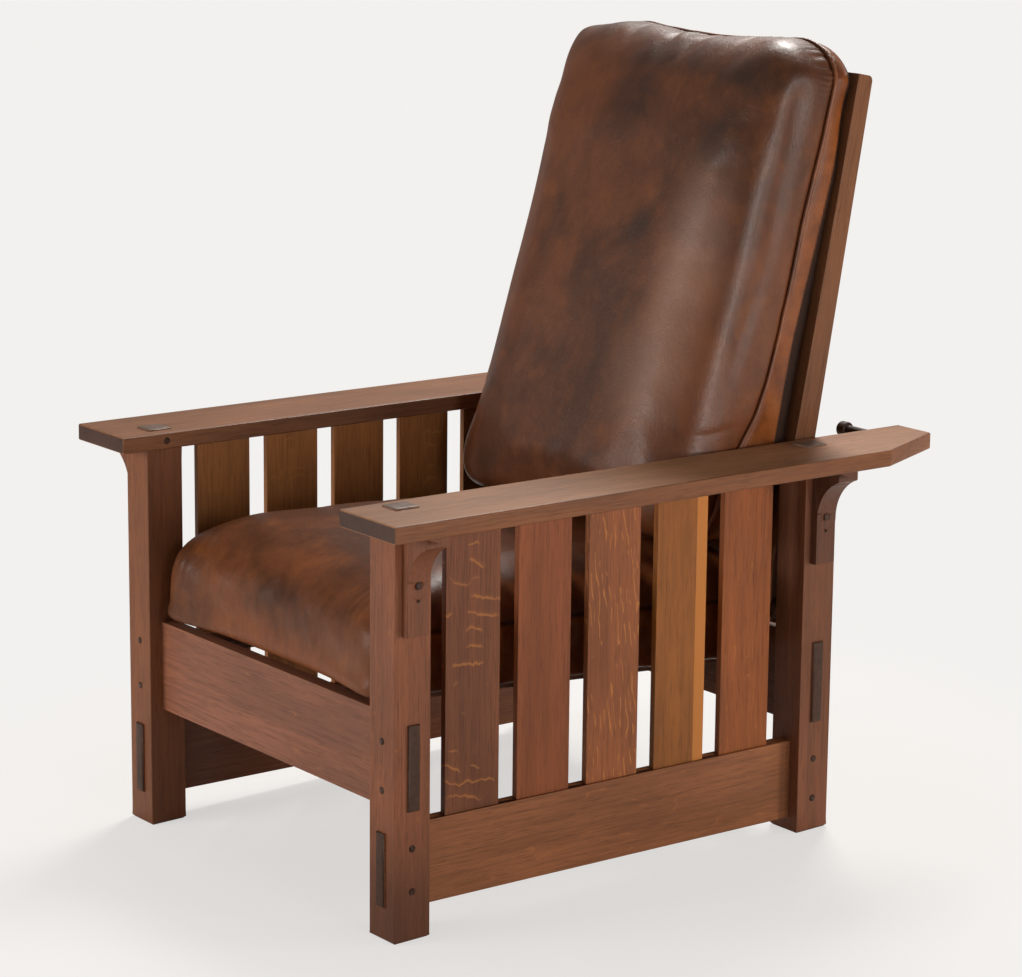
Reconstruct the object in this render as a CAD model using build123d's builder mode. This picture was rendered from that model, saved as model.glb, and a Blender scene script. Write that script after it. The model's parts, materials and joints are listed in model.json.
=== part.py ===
from build123d import *

import os
from math import atan, cos, degrees, radians, sin, tan

# A mission reclining armchair in quarter-sawn oak with two loose leather cushions.
#
# Lengths are millimetres and angles degrees. The row frame has +Z up, -Y to the front and +X to the
# sitter's left. The floor is Z = 0 and the origin is under the middle of the bounding box.
# The rear legs are cut shorter than the front ones, so the whole frame leans back. Sizes are given in
# the chair's own square frame: x sideways, y rearwards from the front posts' front faces, z up from
# the front feet. The plane `chair` carries that frame, and `spot` turns its points into row points.

# How the chair stands
lean = 1.65

# Posts
post_w = 56.0
post_outer = 328.5
frame_depth = 742.0
foot_chamfer = 3.0

# Arms
arm_top = 568.5
arm_t = 23.0
arm_lip = 7.0
arm_w = 125.0
arm_overhang = 42.0
arm_cut_length = 130.0
arm_cut_w = 58.0
arm_chamfer = 1.5

# Rails
rail_t = 22.0
front_rail_z = 169.5
front_rail_h = 127.0
front_rail_inset = 20.0
rear_rail_z = 173.5
rear_rail_inset = 18.0
side_rail_z = 39.5
side_rail_h = 112.0
side_rail_inset = 19.0

# Through tenons, pins and glue lines
tenon_t = 18.0
tenon_inset = 6.0
tenon_proud = 4.0
tenon_chamfer = 2.0
arm_tenon_w = 32.0
arm_tenon_d = 36.0
arm_tenon_proud = 3.0
pin_d = 9.5
pin_length = 46.0
pin_proud = 0.3
pin_height_shares = (0.25, 0.765)
glue = 0.05

# Side slats
slat_count = 5
slat_t = 9.5
slat_gap = 29.5
slat_end_gap = 39.75
slat_inset = 4.0
slat_mortise = 12.0

# Corbels under the arms
corbel_t = 34.0
corbel_h = 137.0
corbel_foot = 12.0
corbel_reach = 54.0
corbel_block_h = 14.0
corbel_curve_h = 63.0
corbel_bow = 4.5
plug_d = 9.5
small_plug_d = 4.0
plug_depth = 8.0
plug_proud = 1.5
plug_rise = 66.0
small_plug_rise = 46.0

# Slatted seat deck inside the rails
deck_fall = 3.54
deck_rise = 8.1
deck_slat_t = 8.0
deck_slat_w = 52.0
deck_side_gap = 40.5
deck_slat_count = 7
deck_front_gap = 33.0
deck_rear_gap = 62.0
bearer_w = 35.0
bearer_h = 16.0
bearer_inset = 47.0
cleat_w = 20.0
cleat_h = 30.0
cleat_end_gap = 62.5

# Back frame, hinged at the foot of its stiles
back_recline = 11.17
pivot_inset = 13.0
pivot_rise = 29.5
stile_w = 45.0
stile_gap = 6.0
stile_front = 20.5
stile_foot_d = 42.0
stile_top_d = 26.0
stile_length = 750.0
stile_corner_r = 8.0
back_rail_t = 14.0
back_rail_h = 58.0
back_rail_inset = 5.0
back_rail_tenon = 25.0
back_first_rail = 42.0
back_slat_count = 4
back_top_margin = 12.0

# Hinge pins and their spacers
hinge_d = 10.0
hinge_head_d = 20.0
hinge_head_t = 4.0
hinge_in_post = 28.0
spacer_d = 30.0
running = 0.08
side_play = 0.25

# Adjusting pegs, set in the rearmost of four holes in each arm
peg_d = 14.0
peg_depth = 35.0
peg_knob_d = 22.0
peg_knob_t = 16.0
peg_knob_play = 2.5
peg_knob_round = 3.0
peg_stop_angles = (0.0, 7.0, 14.0, 21.0)
peg_gap = 0.3
peg_end_margin = 45.305

# Cushions, loose on the deck and on the back frame
cushion_gap = 0.5
seat_side_play = 2.5
seat_end_play = 6.5
seat_front = 17.0
seat_height = 160.0
seat_crown_share = 0.456274
seat_corner_r = 34.0
seat_dip = 5.0
back_side_play = 3.5
back_cushion_length = 688.0
back_cushion_height = 220.0
back_crown_share = 0.458015
back_corner_r = 38.0
back_dip = 8.0
back_cushion_thinning = 7.0

# The levels of each cushion, from the face it lies on to its crown: height as a share of the cushion's
# height, how far the outline is drawn in at the sides of the head, the sides of the foot, the foot and
# the head as shares of the crown's run, then the corner radius and the dip of the sides as shares.
seat_level_shares = (
    (0.0, 0.035, 0.035, 0.12, 0.035, 0.9, 0.4),
    (0.075, 0.01, 0.01, 0.04, 0.01, 0.95, 0.6),
    (0.28, 0.0, 0.0, 0.0, 0.0, 1.0, 1.0),
    (0.5, 0.0, 0.0, 0.015, 0.0, 1.1, 1.0),
    (0.675, 0.025, 0.025, 0.15, 0.025, 1.3, 1.0),
    (0.8, 0.09, 0.09, 0.385, 0.09, 1.55, 0.8),
    (0.89, 0.225, 0.225, 0.685, 0.23, 1.85, 0.6),
    (0.945, 0.435, 0.435, 1.02, 0.435, 2.2, 0.4),
    (0.98, 0.7, 0.7, 1.4, 0.7, 2.5, 0.4),
    (1.0, 1.0, 1.0, 1.78, 1.0, 2.65, 0.2),
)
back_level_shares = (
    (0.0, 0.18, 0.3, 0.07, 0.085, 0.9, 0.6),
    (0.055, 0.15, 0.27, 0.025, 0.04, 0.95, 0.75),
    (0.18, 0.07, 0.15, 0.0, 0.0, 1.0, 1.0),
    (0.37, 0.035, 0.085, 0.0, 0.01, 1.05, 1.0),
    (0.555, 0.05, 0.085, 0.01, 0.04, 1.1, 1.0),
    (0.72, 0.12, 0.13, 0.035, 0.13, 1.15, 0.9),
    (0.84, 0.25, 0.25, 0.1, 0.3, 1.25, 0.75),
    (0.92, 0.46, 0.45, 0.25, 0.57, 1.5, 0.6),
    (0.97, 0.725, 0.715, 0.48, 0.885, 1.75, 0.4),
    (1.0, 1.02, 1.0, 0.8, 1.23, 1.95, 0.25),
)

# Worked out from the sizes above
overrun = post_w
post_inner = post_outer - post_w
rear_post_y = frame_depth - post_w
slat_w = (frame_depth - 2 * (post_w + slat_end_gap) - (slat_count - 1) * slat_gap) / slat_count
arm_bottom = arm_top - arm_t
arm_inner = post_inner - arm_lip
arm_outer = arm_inner + arm_w
side_rail_outer = post_outer - side_rail_inset
slat_outer = side_rail_outer - slat_inset
rear_rail_back = frame_depth - rear_rail_inset
stile_outer = arm_inner - stile_gap
stile_inner = stile_outer - stile_w
pivot_y = rear_post_y + pivot_inset
pivot_z = rear_rail_z + front_rail_h + pivot_rise
deck_z = front_rail_z + front_rail_h + deck_rise
sides = (("left", 1), ("right", -1))

# Places of the adjusting pegs: each touches the stiles' rear faces at its own recline
peg_z = arm_top - arm_t / 2
stile_taper = degrees(atan((stile_foot_d - stile_top_d) / stile_length))


def peg_y(extra):
    """Peg centre behind the back, when it leans back by an extra angle."""
    angle = radians(back_recline - stile_taper + extra)
    stand_off = (stile_foot_d - stile_front) + peg_d / 2 + peg_gap
    return pivot_y + (stand_off + (peg_z - pivot_z) * sin(angle)) / cos(angle)


arm_rear = peg_y(peg_stop_angles[-1]) + peg_end_margin

lean_cos = cos(radians(lean))
lean_sin = sin(radians(lean))
front_reach = -arm_overhang * lean_cos + arm_bottom * lean_sin
rear_reach = arm_rear * lean_cos + arm_top * lean_sin
row_shift = -(front_reach + rear_reach) / 2


def spot(x, y, z):
    """Row point of a point in the chair's own frame."""
    return Vector(x, row_shift + y * lean_cos + z * lean_sin, z * lean_cos - y * lean_sin)


def floorward(y, z, fall=0.0):
    """Plane through (0, y, z) with its normal up and its y axis rearwards, falling by an angle."""
    angle = radians(lean + fall)
    return Plane(spot(0, y, z), x_dir=(1, 0, 0), z_dir=(0, sin(angle), cos(angle)))


def upright(y, z, recline=0.0):
    """Plane through (0, y, z) with its normal forwards and its y axis up, leaning back by an angle."""
    angle = radians(lean + recline)
    return Plane(spot(0, y, z), x_dir=(1, 0, 0), z_dir=(0, -cos(angle), sin(angle)))


def sideways(x, y, z, recline=0.0):
    """Plane through (x, y, z) with its normal to +X, its x axis rearwards and its y axis up."""
    angle = radians(lean + recline)
    return Plane(spot(x, y, z), x_dir=(0, cos(angle), -sin(angle)), z_dir=(1, 0, 0))


chair = floorward(0, 0)
deck = floorward(seat_front, deck_z, deck_fall)
back = upright(pivot_y, pivot_z, back_recline)


def block(x, y, z, mode=Mode.ADD):
    """Box between two values on each axis of the workplane."""
    with Locations(((x[0] + x[1]) / 2, (y[0] + y[1]) / 2, (z[0] + z[1]) / 2)):
        Box(abs(x[1] - x[0]), abs(y[1] - y[0]), abs(z[1] - z[0]), mode=mode)


def grown(span, by):
    """A span made longer by the same amount at both ends."""
    low, high = sorted(span)
    return low - by, high + by


def rod(start, axis, length, d, mode=Mode.ADD):
    """Cylinder from a start point along +x, -x, +y or -y of the workplane."""
    turns = {"+x": (0, 90, 0), "-x": (0, -90, 0), "+y": (-90, 0, 0), "-y": (90, 0, 0)}
    on_foot = (Align.CENTER, Align.CENTER, Align.MIN)
    with Locations(start):
        Cylinder(d / 2, length, rotation=turns[axis], align=on_foot, mode=mode)


def keep(builder, name):
    """Label a finished piece and write it."""
    builder.part.label = name
    export_step(builder.part, f"parts/{name}.step")


os.makedirs("parts", exist_ok=True)

# Where the through tenons and their pins lie
front_tenon_y = (front_rail_inset, front_rail_inset + tenon_t)
rear_tenon_y = (rear_rail_back - tenon_t, rear_rail_back)
side_tenon_x = (side_rail_outer - tenon_t, side_rail_outer)
front_tenon_z = (front_rail_z + tenon_inset, front_rail_z + front_rail_h - tenon_inset)
rear_tenon_z = (rear_rail_z + tenon_inset, rear_rail_z + front_rail_h - tenon_inset)
side_tenon_z = (side_rail_z + tenon_inset, side_rail_z + side_rail_h - tenon_inset)
post_middle_x = post_outer - post_w / 2
post_middle_y = (post_w / 2, frame_depth - post_w / 2)


def cross_rail_pins(side, front):
    """Pins through a cross rail's tenon, driven in from the front or the rear face of its post."""
    low = front_rail_z if front else rear_rail_z
    y = -pin_proud if front else frame_depth + pin_proud
    axis = "+y" if front else "-y"
    return [((side * post_middle_x, y, low + share * front_rail_h), axis) for share in pin_height_shares]


def side_rail_pins(side, front):
    """Pins through a side rail's tenon, driven in from the outer face of its post."""
    y = post_middle_y[0 if front else 1]
    x = side * (post_outer + pin_proud)
    axis = "-x" if side > 0 else "+x"
    return [((x, y, side_rail_z + share * side_rail_h), axis) for share in pin_height_shares]


def arm_pin(side, front):
    """Pin through the arm's inner edge and the tenon on the post's head."""
    y = post_middle_y[0 if front else 1]
    return ((side * (arm_inner - pin_proud), y, arm_top - arm_t / 2), "+x" if side > 0 else "-x")


def arm_tenon_x(side):
    """Sideways span of a post's tenon through its arm."""
    return side * (post_middle_x - arm_tenon_w / 2), side * (post_middle_x + arm_tenon_w / 2)


# Posts, with a tenon on the head and through mortises for the rails
for end, front in (("front", True), ("rear", False)):
    for side_name, side in sides:
        near_y = 0 if front else rear_post_y
        tenon_x = arm_tenon_x(side)
        middle_y = post_middle_y[0 if front else 1]
        tenon_y = (middle_y - arm_tenon_d / 2, middle_y + arm_tenon_d / 2)
        through_x = (side * (post_inner - overrun), side * (post_outer + overrun))
        through_y = (near_y - overrun, near_y + post_w + overrun)
        with BuildPart(chair) as post:
            block(tenon_x, tenon_y, (0, arm_top + arm_tenon_proud))
            chamfer(post.faces().sort_by(Axis.Z)[-1].edges(), tenon_chamfer)
            block((side * post_inner, side * post_outer), (near_y, near_y + post_w), (-overrun, arm_bottom))
            split(bisect_by=Plane.XY, keep=Keep.TOP)
            chamfer(post.faces().sort_by(Axis.Z)[0].edges(), foot_chamfer)
            cross_y = front_tenon_y if front else rear_tenon_y
            cross_z = front_tenon_z if front else rear_tenon_z
            block(through_x, grown(cross_y, glue), grown(cross_z, glue), Mode.SUBTRACT)
            along_x = grown((side * side_tenon_x[0], side * side_tenon_x[1]), glue)
            block(along_x, through_y, grown(side_tenon_z, glue), Mode.SUBTRACT)
            for start, axis in cross_rail_pins(side, front) + side_rail_pins(side, front):
                rod(start, axis, pin_length + glue, pin_d + 2 * glue, Mode.SUBTRACT)
            start, axis = arm_pin(side, front)
            rod(start, axis, pin_length + glue, pin_d + 2 * glue, Mode.SUBTRACT)
            if not front:
                start = (side * (post_inner - overrun), pivot_y, pivot_z)
                hole_length = overrun + hinge_in_post + glue
                axis = "+x" if side > 0 else "-x"
                rod(start, axis, hole_length, hinge_d + 2 * glue, Mode.SUBTRACT)
        keep(post, f"{end}_{side_name}_post")

# Front and rear seat rails
for name, front in (("front_rail", True), ("rear_rail", False)):
    low = front_rail_z if front else rear_rail_z
    outer_y = front_rail_inset if front else rear_rail_back
    inner_y = outer_y + rail_t if front else outer_y - rail_t
    cross_y = front_tenon_y if front else rear_tenon_y
    cross_z = front_tenon_z if front else rear_tenon_z
    reach = post_outer + tenon_proud
    with BuildPart(chair) as rail:
        block((-reach, reach), cross_y, cross_z)
        for face in (rail.faces().sort_by(Axis.X)[0], rail.faces().sort_by(Axis.X)[-1]):
            chamfer(face.edges(), tenon_chamfer)
        block((-post_inner, post_inner), (outer_y, inner_y), (low, low + front_rail_h))
        for side_name, side in sides:
            for start, axis in cross_rail_pins(side, front):
                rod(start, axis, pin_length + glue, pin_d + 2 * glue, Mode.SUBTRACT)
    keep(rail, name)


def slat_places():
    """Front edge of each side slat, spaced evenly between the posts."""
    run = slat_count * slat_w + (slat_count - 1) * slat_gap
    first = (frame_depth - run) / 2
    return [first + index * (slat_w + slat_gap) for index in range(slat_count)]


# Side rails, mortised on top for the slats
for side_name, side in sides:
    outer_x = side * side_rail_outer
    inner_x = side * (side_rail_outer - rail_t)
    tenon_x = (side * side_tenon_x[0], side * side_tenon_x[1])
    slat_x = grown((side * (slat_outer - slat_t), side * slat_outer), glue)
    rail_top = side_rail_z + side_rail_h
    with BuildPart(chair) as side_rail:
        block(tenon_x, (-tenon_proud, frame_depth + tenon_proud), side_tenon_z)
        for face in (side_rail.faces().sort_by(Axis.Y)[0], side_rail.faces().sort_by(Axis.Y)[-1]):
            chamfer(face.edges(), tenon_chamfer)
        block((outer_x, inner_x), (post_w, rear_post_y), (side_rail_z, rail_top))
        for y in slat_places():
            pocket_z = (rail_top - slat_mortise - glue, rail_top + overrun)
            block(slat_x, grown((y, y + slat_w), glue), pocket_z, Mode.SUBTRACT)
        for front in (True, False):
            for start, axis in side_rail_pins(side, front):
                rod(start, axis, pin_length + glue, pin_d + 2 * glue, Mode.SUBTRACT)
    keep(side_rail, f"{side_name}_side_rail")

    for number, y in enumerate(slat_places(), 1):
        with BuildPart(chair) as slat:
            slat_z = (rail_top - slat_mortise, arm_bottom + slat_mortise)
            block((side * (slat_outer - slat_t), side * slat_outer), (y, y + slat_w), slat_z)
        keep(slat, f"{side_name}_slat_{number}")

# Arms
for side_name, side in sides:
    with BuildPart(chair) as arm:
        with BuildSketch(floorward(0, arm_bottom)):
            with BuildLine():
                Polyline(
                    (side * arm_inner, -arm_overhang),
                    (side * arm_outer, -arm_overhang),
                    (side * arm_outer, arm_rear - arm_cut_length),
                    (side * (arm_outer - arm_cut_w), arm_rear),
                    (side * arm_inner, arm_rear),
                    close=True,
                )
            make_face()
        extrude(amount=arm_t)
        chamfer(arm.edges(), arm_chamfer)
        for front in (True, False):
            tenon_x = arm_tenon_x(side)
            middle_y = post_middle_y[0 if front else 1]
            tenon_y = (middle_y - arm_tenon_d / 2, middle_y + arm_tenon_d / 2)
            through_z = (arm_bottom - overrun, arm_top + overrun)
            block(grown(tenon_x, glue), grown(tenon_y, glue), through_z, Mode.SUBTRACT)
            start, axis = arm_pin(side, front)
            rod(start, axis, pin_length + glue, pin_d + 2 * glue, Mode.SUBTRACT)
        for y in slat_places():
            slat_x = grown((side * (slat_outer - slat_t), side * slat_outer), glue)
            pocket_z = (arm_bottom - overrun, arm_bottom + slat_mortise + glue)
            block(slat_x, grown((y, y + slat_w), glue), pocket_z, Mode.SUBTRACT)
        for angle in peg_stop_angles:
            axis = "+x" if side > 0 else "-x"
            start = (side * (arm_inner - overrun), peg_y(angle), peg_z)
            rod(start, axis, overrun + peg_depth + running, peg_d + 2 * running, Mode.SUBTRACT)
    keep(arm, f"{side_name}_arm")

# Pins and plugs
with BuildPart(chair) as arm_pins:
    for side_name, side in sides:
        for front in (True, False):
            start, axis = arm_pin(side, front)
            rod(start, axis, pin_length, pin_d)
keep(arm_pins, "arm_pins")

for name, places in (("cross_rail_pins", cross_rail_pins), ("side_rail_pins", side_rail_pins)):
    with BuildPart(chair) as pins:
        for side_name, side in sides:
            for front in (True, False):
                for start, axis in places(side, front):
                    rod(start, axis, pin_length, pin_d)
    keep(pins, name)


def corbel_plug_places(side, front):
    """Start, diameter and direction of the two plugs in a corbel's outer face."""
    y = post_middle_y[0 if front else 1]
    foot_z = arm_bottom - corbel_h
    x = side * (post_outer + corbel_foot + plug_proud)
    axis = "-x" if side > 0 else "+x"
    return [
        ((x, y, foot_z + plug_rise), plug_d, axis),
        ((x, y, foot_z + small_plug_rise), small_plug_d, axis),
    ]


# Corbels: a block under the arm, a hollow curve and a thin straight foot
for end, front in (("front", True), ("rear", False)):
    for side_name, side in sides:
        middle_y = post_middle_y[0 if front else 1]
        foot_z = arm_bottom - corbel_h
        foot_x = post_outer + corbel_foot
        tip_x = post_outer + corbel_reach
        curve_top = arm_bottom - corbel_block_h
        curve_foot = curve_top - corbel_curve_h
        hollow_x = (foot_x + tip_x) / 2 - corbel_bow * 2
        hollow_z = (curve_top + curve_foot) / 2 + corbel_bow * 2
        tip = (side * tip_x, curve_top)
        heel = (side * foot_x, curve_foot)
        with BuildPart(chair) as corbel:
            with BuildSketch(upright(middle_y - corbel_t / 2, 0)):
                with BuildLine():
                    Polyline(
                        heel,
                        (side * foot_x, foot_z),
                        (side * post_outer, foot_z),
                        (side * post_outer, arm_bottom),
                        (side * tip_x, arm_bottom),
                        tip,
                    )
                    ThreePointArc(tip, (side * hollow_x, hollow_z), heel)
                make_face()
            extrude(amount=-corbel_t)
            for start, d, axis in corbel_plug_places(side, front):
                rod(start, axis, plug_depth + glue, d + 2 * glue, Mode.SUBTRACT)
        keep(corbel, f"{end}_{side_name}_corbel")

with BuildPart(chair) as corbel_plugs:
    for side_name, side in sides:
        for front in (True, False):
            for start, d, axis in corbel_plug_places(side, front):
                rod(start, axis, plug_depth, d)
keep(corbel_plugs, "corbel_plugs")

# Seat deck: slats across two bearers, whose ends sit on cleats screwed inside the cross rails
front_rail_inside = front_rail_inset + rail_t
rear_rail_inside = rear_rail_back - rail_t
bearer_top = -deck_slat_t
bearer_foot = bearer_top - bearer_h
fall_tan = tan(radians(deck_fall))


def cleat_top(y):
    """Level of the notch that seats the bearers on a cleat."""
    return deck_z + (bearer_foot + bearer_h / 4) / cos(radians(deck_fall)) - (y - seat_front) * fall_tan


cleats = (
    ("front_cleat", front_rail_inside, front_rail_inside + cleat_w, cleat_top(front_rail_inside + cleat_w)),
    ("rear_cleat", rear_rail_inside - cleat_w, rear_rail_inside, cleat_top(rear_rail_inside)),
)
for name, near, far, top in cleats:
    with BuildPart(chair) as cleat:
        block((cleat_end_gap - post_inner, post_inner - cleat_end_gap), (near, far), (top - cleat_h, top))
    keep(cleat, name)


def bearer_level(y, depth):
    """Height of a bearer's sloping face, at a depth below the deck's top face."""
    return deck_z - depth / cos(radians(deck_fall)) - (y - seat_front) * fall_tan


bearer_start = front_rail_inside + glue
bearer_end = rear_rail_inside - glue
front_notch_y = front_rail_inside + cleat_w + glue
rear_notch_y = rear_rail_inside - cleat_w - glue
deck_half = post_inner - deck_side_gap
bearer_outer = deck_half - bearer_inset
for side_name, side in sides:
    with BuildPart() as bearer:
        with BuildSketch(sideways(bearer_outer - bearer_w if side > 0 else -bearer_outer, 0, 0)):
            with BuildLine():
                Polyline(
                    (bearer_start, bearer_level(bearer_start, -bearer_top)),
                    (bearer_start, cleats[0][-1]),
                    (front_notch_y, cleats[0][-1]),
                    (front_notch_y, bearer_level(front_notch_y, -bearer_foot)),
                    (rear_notch_y, bearer_level(rear_notch_y, -bearer_foot)),
                    (rear_notch_y, cleats[1][-1]),
                    (bearer_end, cleats[1][-1]),
                    (bearer_end, bearer_level(bearer_end, -bearer_top)),
                    close=True,
                )
            make_face()
        extrude(amount=bearer_w)
    keep(bearer, f"{side_name}_bearer")

first_slat = front_rail_inside + deck_front_gap - seat_front
last_slat = rear_rail_inside - deck_rear_gap - deck_slat_w - seat_front
for number in range(deck_slat_count):
    start = first_slat + (last_slat - first_slat) * number / (deck_slat_count - 1)
    with BuildPart(deck) as deck_slat:
        block((-deck_half, deck_half), (start, start + deck_slat_w), (-deck_slat_t, 0))
    keep(deck_slat, f"deck_slat_{number + 1}")

# Back frame: tapering stiles with rounded feet, joined by a rail at each end and slats between
back_rail_front = stile_front - back_rail_inset
back_rail_z = (back_rail_front - back_rail_t, back_rail_front)
last_rail = stile_length - back_top_margin - back_rail_h
rail_step = (last_rail - back_first_rail) / (back_slat_count + 1)
back_rails = [("back_bottom_rail", back_first_rail)]
back_rails += [(f"back_slat_{n}", back_first_rail + n * rail_step) for n in range(1, back_slat_count + 1)]
back_rails += [("back_top_rail", last_rail)]
stile_rear_foot = stile_foot_d - stile_front
stile_rear_top = stile_top_d - stile_front

for side_name, side in sides:
    low_x = stile_inner if side > 0 else -stile_outer
    with BuildPart(back) as stile:
        with BuildSketch(sideways(low_x, pivot_y, pivot_z, back_recline)) as side_view:
            with BuildLine():
                foot = -(stile_front + stile_rear_foot) / 2
                middle = (stile_rear_foot - stile_front) / 2
                ThreePointArc((stile_rear_foot, 0), (middle, foot), (-stile_front, 0))
                Polyline((-stile_front, 0), (-stile_front, stile_length), (stile_rear_top, stile_length))
                Line((stile_rear_top, stile_length), (stile_rear_foot, 0))
            make_face()
            fillet(side_view.vertices().group_by(Axis.Y)[-1].sort_by(Axis.X)[-1], stile_corner_r)
        extrude(amount=stile_w)
        for name, low in back_rails:
            pocket = (side * (stile_inner - overrun), side * (stile_inner + back_rail_tenon + glue))
            block(pocket, grown((low, low + back_rail_h), glue), grown(back_rail_z, glue), Mode.SUBTRACT)
        rod((side * (stile_inner - overrun), 0, 0), "+x" if side > 0 else "-x", overrun * 2 + stile_w,
            hinge_d + 2 * running, Mode.SUBTRACT)
    keep(stile, f"{side_name}_stile")

for name, low in back_rails:
    with BuildPart(back) as cross:
        reach = stile_inner + back_rail_tenon
        block((-reach, reach), (low, low + back_rail_h), back_rail_z)
    keep(cross, name)

# Hinge pins through the stiles' feet into the rear posts, with a spacer on each
with BuildPart(chair) as hinge_pins:
    for side_name, side in sides:
        axis = "+x" if side > 0 else "-x"
        head_x = side * (stile_inner - side_play)
        rod((head_x, pivot_y, pivot_z), axis, post_inner + hinge_in_post - abs(head_x), hinge_d)
        rod((head_x, pivot_y, pivot_z), "-x" if side > 0 else "+x", hinge_head_t, hinge_head_d)
keep(hinge_pins, "hinge_pins")

with BuildPart(chair) as hinge_spacers:
    for side_name, side in sides:
        axis = "+x" if side > 0 else "-x"
        start = (side * (stile_outer + side_play), pivot_y, pivot_z)
        rod(start, axis, post_inner - stile_outer - side_play, spacer_d)
        rod(start, axis, post_inner - stile_outer, hinge_d + 2 * glue, Mode.SUBTRACT)
keep(hinge_spacers, "hinge_spacers")

# Adjusting pegs
for side_name, side in sides:
    with BuildPart(chair) as peg:
        knob_x = stile_inner - peg_knob_play - peg_knob_t
        axis = "+x" if side > 0 else "-x"
        y = peg_y(peg_stop_angles[-1])
        rod((side * knob_x, y, peg_z), axis, peg_knob_t, peg_knob_d)
        fillet(peg.edges().filter_by(GeomType.CIRCLE), peg_knob_round)
        shank_x = knob_x + peg_knob_t / 2
        rod((side * shank_x, y, peg_z), axis, arm_inner + peg_depth - shank_x, peg_d)
    keep(peg, f"{side_name}_peg")


def outline(half_w, foot_half_w, foot, head, r, dip, foot_dip):
    """Edges of a cushion's outline at one level: round corners, with the sides drawn in between them."""
    nook = r * (1 - cos(radians(45)))
    middle_w = (foot_half_w + half_w) / 2 - dip
    middle = (foot + head) / 2
    low = foot_half_w - r
    top = half_w - r
    with BuildLine() as plan:
        if foot_dip:
            ThreePointArc((-low, foot), (0, foot + foot_dip), (low, foot))
        else:
            Line((-low, foot), (low, foot))
        ThreePointArc((low, foot), (foot_half_w - nook, foot + nook), (foot_half_w, foot + r))
        ThreePointArc((foot_half_w, foot + r), (middle_w, middle), (half_w, head - r))
        ThreePointArc((half_w, head - r), (half_w - nook, head - nook), (top, head))
        ThreePointArc((top, head), (0, head - dip), (-top, head))
        ThreePointArc((-top, head), (nook - half_w, head - nook), (-half_w, head - r))
        ThreePointArc((-half_w, head - r), (-middle_w, middle), (-foot_half_w, foot + r))
        ThreePointArc((-foot_half_w, foot + r), (nook - foot_half_w, foot + nook), (-low, foot))
    return plan.edges()


def cushion(base, level_shares, half_w, length, height, crown_run, corner_r, dip):
    """Loft of a cushion's levels over a base plane whose y axis runs from the foot to the head."""
    thinning, foot_slope, foot_dip_share = (0, 0, 1)
    if base is back_base:
        thinning, foot_slope, foot_dip_share = (-back_cushion_thinning, back_recline - deck_fall, 0)
    with BuildPart() as soft:
        for share, head_w, foot_w, foot_in, head_in, corner_share, dip_share in level_shares:
            level = base.offset(cushion_gap + share * height).rotated((thinning * share, 0, 0))
            foot = foot_in * crown_run - share * height * tan(radians(foot_slope))
            head = length - head_in * crown_run
            level_dip = dip_share * dip
            with BuildSketch(level):
                make_face(
                    outline(
                        half_w - head_w * crown_run,
                        half_w - foot_w * crown_run,
                        foot,
                        head,
                        corner_share * corner_r,
                        level_dip,
                        level_dip * foot_dip_share,
                    )
                )
        loft()
    return soft


# Where the back cushion's foot comes, so that its flat underside rests on the seat's crown
recline_cos = cos(radians(back_recline))
recline_sin = sin(radians(back_recline))
fall_cos = cos(radians(deck_fall))
fall_sin = sin(radians(deck_fall))
over_deck_y = pivot_y - stile_front * recline_cos - seat_front
over_deck_z = pivot_z + stile_front * recline_sin - deck_z
stile_over_deck = over_deck_y * fall_sin + over_deck_z * fall_cos
foot_over_stile = seat_height + 2 * cushion_gap - stile_over_deck
back_cushion_foot = foot_over_stile / cos(radians(back_recline - deck_fall))
back_foot = back.from_local_coords((0, back_cushion_foot, stile_front))
back_base = Plane(back_foot, x_dir=back.x_dir, z_dir=back.z_dir)

# Seat cushion, with a rolled front edge and a low crown
seat_half_w = arm_inner - seat_side_play
seat_cushion = cushion(
    deck,
    seat_level_shares,
    seat_half_w,
    (pivot_y - stile_front - seat_end_play - seat_front) / fall_cos,
    seat_height,
    seat_crown_share * seat_half_w,
    seat_corner_r,
    seat_dip,
)
keep(seat_cushion, "seat_cushion")

# Back cushion, with a high crown that thins upwards
back_half_w = arm_inner - back_side_play
back_cushion = cushion(
    back_base,
    back_level_shares,
    back_half_w,
    back_cushion_length,
    back_cushion_height,
    back_crown_share * back_half_w,
    back_corner_r,
    back_dip,
)
keep(back_cushion, "back_cushion")
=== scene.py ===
# %% [markdown]
# # A mission reclining armchair, dressed for a studio
#
# The solids of this chair come packed from CAD: four posts, flat arms, slatted sides, a hinged back
# and two loose cushions. This notebook gives them their looks. It eases the edges of the oak as a
# joiner would, puffs up the cushions, lays the piping, and paints oak and leather with nodes.
# Everything is in metres, with +Z up and -Y to the front, and +X is the sitter's left.

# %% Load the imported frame
import json
from math import cos, degrees, exp, pi, radians, sin

import bpy
from mathutils import Euler, Matrix, Vector
from mathutils.bvhtree import BVHTree

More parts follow.
